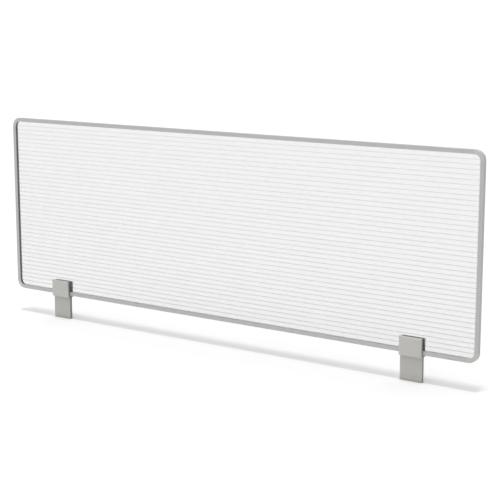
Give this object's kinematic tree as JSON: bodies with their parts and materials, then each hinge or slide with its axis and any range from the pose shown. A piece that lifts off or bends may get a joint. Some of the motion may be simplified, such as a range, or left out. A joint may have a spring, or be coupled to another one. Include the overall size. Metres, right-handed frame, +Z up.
{
  "type": "desk privacy panel",
  "caption": "Wide low privacy screen of clear ribbed twin-wall sheet in a slim silver frame with rounded corners, held up by two clamp brackets with flat foot bars.",
  "frame": {"origin": "on the desk surface under the middle of the panel: centre of the bottom of the whole object's box", "axes": "+X along the panel to the right as seen from the front, +Y towards the rear, where the screw heads are, +Z up"},
  "size_m": [1.194, 0.0201, 0.4565],
  "materials": {
    "clear_sheet": "gloss",
    "frame": "satin",
    "elbow": "satin",
    "bracket": "satin",
    "rubber": "matte",
    "screw": "satin",
    "sleeve": "matte"
  },
  "bodies": {
    "panel": {"twin_wall_sheet": "clear_sheet", "top_rail": "frame", "bottom_rail": "frame", "left_rail": "frame", "right_rail": "frame", "elbow_top_left": "elbow", "elbow_top_right": "elbow", "elbow_bottom_left": "elbow", "elbow_bottom_right": "elbow", "left_bracket": "bracket", "left_rear_pad": "rubber", "left_washers": "screw", "left_sleeves": "sleeve", "right_bracket": "bracket", "right_rear_pad": "rubber", "right_washers": "screw", "right_sleeves": "sleeve"},
    "left_clamp": {"left_clamp_plate": "bracket", "left_front_pad": "rubber"},
    "left_outer_screw": {"left_screw_outer": "screw"},
    "left_inner_screw": {"left_screw_inner": "screw"},
    "right_clamp": {"right_clamp_plate": "bracket", "right_front_pad": "rubber"},
    "right_outer_screw": {"right_screw_outer": "screw"},
    "right_inner_screw": {"right_screw_inner": "screw"}
  },
  "joints": [
    {"name": "left_outer_screw_turn", "type": "hinge", "parent": "panel", "child": "left_outer_screw", "pos_m": [-0.47, 0.0078, 0.07483], "axis": [0, 1, 0], "range_deg": [0, 1440]},
    {"name": "left_inner_screw_turn", "type": "hinge", "parent": "panel", "child": "left_inner_screw", "pos_m": [-0.442, 0.0078, 0.07483], "axis": [0, 1, 0], "range_deg": [0, 1440]},
    {"name": "left_clamp_slide", "type": "slide", "parent": "panel", "child": "left_clamp", "axis": [0, -1, 0], "range_m": [0, 0.0028]},
    {"name": "right_outer_screw_turn", "type": "hinge", "parent": "panel", "child": "right_outer_screw", "pos_m": [0.47, 0.0078, 0.07483], "axis": [0, 1, 0], "range_deg": [0, 1440]},
    {"name": "right_inner_screw_turn", "type": "hinge", "parent": "panel", "child": "right_inner_screw", "pos_m": [0.442, 0.0078, 0.07483], "axis": [0, 1, 0], "range_deg": [0, 1440]},
    {"name": "right_clamp_slide", "type": "slide", "parent": "panel", "child": "right_clamp", "axis": [0, -1, 0], "range_m": [0, 0.0028]}
  ],
  "couplings": [
    {"joint": "left_outer_screw_turn", "follows": "left_clamp_slide", "rad_per_m": 8976},
    {"joint": "left_inner_screw_turn", "follows": "left_clamp_slide", "rad_per_m": 8976},
    {"joint": "right_outer_screw_turn", "follows": "right_clamp_slide", "rad_per_m": 8976},
    {"joint": "right_inner_screw_turn", "follows": "right_clamp_slide", "rad_per_m": 8976}
  ]
}
